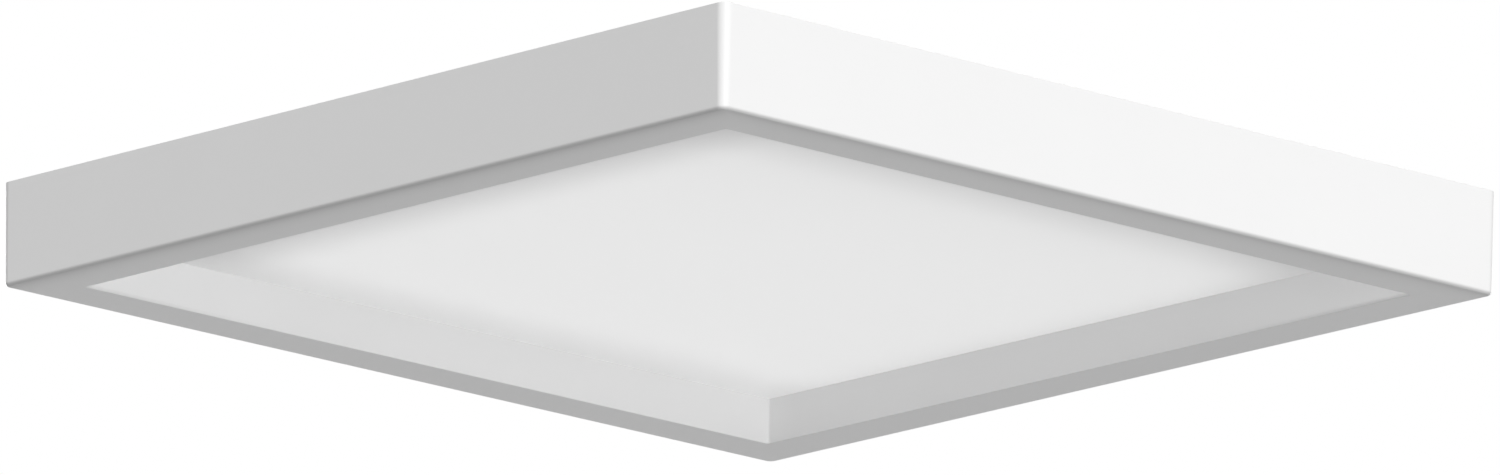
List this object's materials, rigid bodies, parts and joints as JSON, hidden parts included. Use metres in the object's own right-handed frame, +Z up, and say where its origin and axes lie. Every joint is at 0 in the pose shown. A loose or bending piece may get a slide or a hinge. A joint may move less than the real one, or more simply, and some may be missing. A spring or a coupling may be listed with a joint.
{
  "type": "surface mounted ceiling light",
  "caption": "Square white surface mounted ceiling light: a deep moulded frame round a recessed opal diffuser, clipped over a steel pan that holds the light strips, driver and terminals.",
  "frame": {"origin": "centre of the four ceiling screws, on the ceiling plane", "axes": "+Z up into the ceiling; X and Y square to the sides, with the driver and the terminals in the +Y side"},
  "size_m": [0.3, 0.3, 0.0307],
  "materials": {
    "white_moulding": "satin",
    "opal_sheet": "satin",
    "galvanised_steel": "satin",
    "spring_steel": "satin",
    "rivet_aluminium": "satin",
    "zinc_screw": "satin",
    "black_rubber": "matte",
    "white_sheet": "matte",
    "light_board": "matte",
    "phosphor": "satin",
    "driver_plastic": "matte",
    "green_board": "satin",
    "ferrite": "matte",
    "capacitor_can": "satin",
    "terminal_plastic": "satin",
    "button_plastic": "satin",
    "brown_insulation": "satin",
    "blue_insulation": "satin",
    "white_insulation": "satin"
  },
  "bodies": {
    "base": {"base_pan": "galvanised_steel", "spring_clip_1": "spring_steel", "spring_clip_2": "spring_steel", "spring_clip_3": "spring_steel", "spring_clip_4": "spring_steel", "terminal_spring_1": "spring_steel", "terminal_spring_2": "spring_steel", "terminal_spring_3": "spring_steel", "clip_rivets": "rivet_aluminium", "strip_screws": "zinc_screw", "driver_screws": "zinc_screw", "terminal_screws": "zinc_screw", "cable_grommet": "black_rubber", "reflector": "white_sheet", "led_strip_1": "light_board", "led_strip_2": "light_board", "led_strip_3": "light_board", "led_strip_4": "light_board", "led_strip_5": "light_board", "led_strip_6": "light_board", "led_strip_7": "light_board", "led_strip_8": "light_board", "strip_links": "light_board", "led_packages": "phosphor", "driver_case": "driver_plastic", "driver_lid": "driver_plastic", "driver_board": "green_board", "driver_transformer": "ferrite", "driver_choke": "ferrite", "driver_capacitors": "capacitor_can", "terminal_block": "terminal_plastic", "terminal_cap": "terminal_plastic", "live_lead": "brown_insulation", "neutral_lead": "blue_insulation", "led_leads": "white_insulation"},
    "cover": {"frame": "white_moulding", "diffuser": "opal_sheet", "diffuser_screws": "zinc_screw", "diffuser_washers": "zinc_screw"},
    "release_1": {"terminal_button_1": "button_plastic"},
    "release_2": {"terminal_button_2": "button_plastic"},
    "release_3": {"terminal_button_3": "button_plastic"}
  },
  "joints": [
    {"name": "cover_pull", "type": "slide", "parent": "base", "child": "cover", "axis": [0, 0, -1], "range_m": [0, 0.04]},
    {"name": "release_press_1", "type": "slide", "parent": "base", "child": "release_1", "axis": [0, 0, 1], "range_m": [0, 0.0015], "stiffness_N_per_m": 4000, "springref_m": -0.0005, "deforming": ["terminal_spring_1"]},
    {"name": "release_press_2", "type": "slide", "parent": "base", "child": "release_2", "axis": [0, 0, 1], "range_m": [0, 0.0015], "stiffness_N_per_m": 4000, "springref_m": -0.0005, "deforming": ["terminal_spring_2"]},
    {"name": "release_press_3", "type": "slide", "parent": "base", "child": "release_3", "axis": [0, 0, 1], "range_m": [0, 0.0015], "stiffness_N_per_m": 4000, "springref_m": -0.0005, "deforming": ["terminal_spring_3"]}
  ]
}
